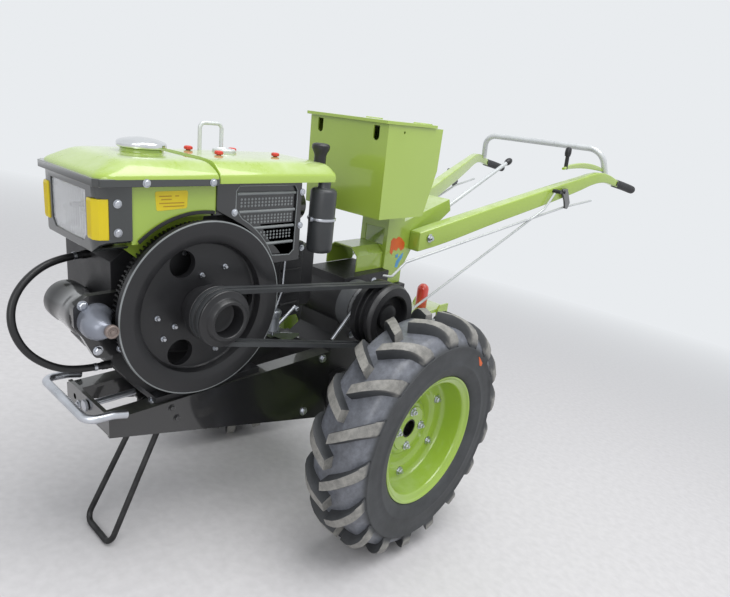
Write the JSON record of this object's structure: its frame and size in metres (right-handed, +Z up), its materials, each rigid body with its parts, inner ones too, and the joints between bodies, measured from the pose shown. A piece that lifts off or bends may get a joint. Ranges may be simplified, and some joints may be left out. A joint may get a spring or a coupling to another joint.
{
  "type": "walking tractor",
  "caption": "Two-wheel walking tractor: diesel engine with open flywheel and belt drive, gearbox, lugged tyres, long handlebars, toolbox and folding front stand.",
  "frame": {"origin": "on the ground, at the centre of the bounding box", "axes": "+X forward towards the lamp, +Y to the operator's left, the flywheel and belt side, +Z up"},
  "size_m": [2.1373, 0.865, 1.2649],
  "materials": {
    "green_paint": "gloss lime green enamel",
    "black_paint": "semi-gloss black enamel",
    "cast_black": "black painted casting",
    "zinc": "zinc plated steel",
    "steel_dark": "dark steel",
    "chrome": "plated",
    "aluminium": "cast aluminium",
    "rubber_black": "black rubber",
    "tyre": "black tyre rubber",
    "lens": "clear lamp lens",
    "amber": "amber lens",
    "grip_plastic": "black grip",
    "red_paint": "red enamel"
  },
  "bodies": {
    "chassis": {"chassis_frame": "black_paint", "bumper_bar": "zinc", "engine_adjuster": "zinc", "engine_block": "cast_black", "gear_cover": "cast_black", "cylinder_head": "cast_black", "rocker_cover": "aluminium", "fuel_tank": "green_paint", "filler_neck": "green_paint", "fuel_cap": "chrome", "lamp_surround": "black_paint", "headlamp": "lens", "marker_lamps": "amber", "side_panel_left": "green_paint", "side_panel_right": "green_paint", "radiator": "black_paint", "grille_left": "black_paint", "grille_right": "black_paint", "rear_bonnet": "green_paint", "bonnet_fittings": "red_paint", "lifting_bail": "zinc", "air_cleaner": "black_paint", "intake_hood": "grip_plastic", "muffler": "black_paint", "starter_motor": "black_paint", "v_belts": "rubber_black", "gearbox": "cast_black", "axle_housing_left": "cast_black", "axle_housing_right": "cast_black", "handlebar_bracket": "green_paint", "front_shield": "green_paint", "handlebar_left": "green_paint", "handlebar_right": "green_paint", "grips": "grip_plastic", "handle_guard": "zinc", "clutch_lever": "green_paint", "steering_levers": "black_paint", "gear_lever": "zinc", "toolbox": "green_paint", "rear_hitch": "green_paint", "control_rods": "zinc", "hitch_pin": "red_paint", "drain_hose": "rubber_black", "hose_stubs": "steel_dark"},
    "wheel_left": {"tyre_left": "tyre", "rim_left": "green_paint", "axle_left": "steel_dark"},
    "wheel_right": {"tyre_right": "tyre", "rim_right": "green_paint", "axle_right": "steel_dark"},
    "flywheel_group": {"flywheel": "cast_black", "drive_pulley": "cast_black"},
    "clutch_pulley_group": {"clutch_pulley": "cast_black"},
    "lid": {"toolbox_lid": "green_paint"},
    "stand": {"front_stand": "steel_dark"}
  },
  "joints": [
    {"name": "wheel_left_spin", "type": "hinge", "parent": "chassis", "child": "wheel_left", "pos_m": [0.24223, 0.35, 0.32], "axis": [0, 1, 0], "continuous": true},
    {"name": "wheel_right_spin", "type": "hinge", "parent": "chassis", "child": "wheel_right", "pos_m": [0.24223, -0.35, 0.32], "axis": [0, 1, 0], "continuous": true},
    {"name": "flywheel_spin", "type": "hinge", "parent": "chassis", "child": "flywheel_group", "pos_m": [0.78155, 0.14, 0.57375], "axis": [0, 1, 0], "continuous": true},
    {"name": "clutch_pulley_spin", "type": "hinge", "parent": "chassis", "child": "clutch_pulley_group", "pos_m": [0.26201, 0.15, 0.57898], "axis": [0, 1, 0], "continuous": true},
    {"name": "toolbox_lid_hinge", "type": "hinge", "parent": "chassis", "child": "lid", "pos_m": [0.16839, 0, 1.09839], "axis": [0, -1, 0], "range_deg": [0, 105]},
    {"name": "front_stand_fold", "type": "hinge", "parent": "chassis", "child": "stand", "pos_m": [0.76952, 0, 0.29696], "axis": [0, 1, 0], "range_deg": [0, 88]}
  ],
  "couplings": [
    {"joint": "clutch_pulley_spin", "follows": "flywheel_spin", "ratio": 0.64444}
  ]
}
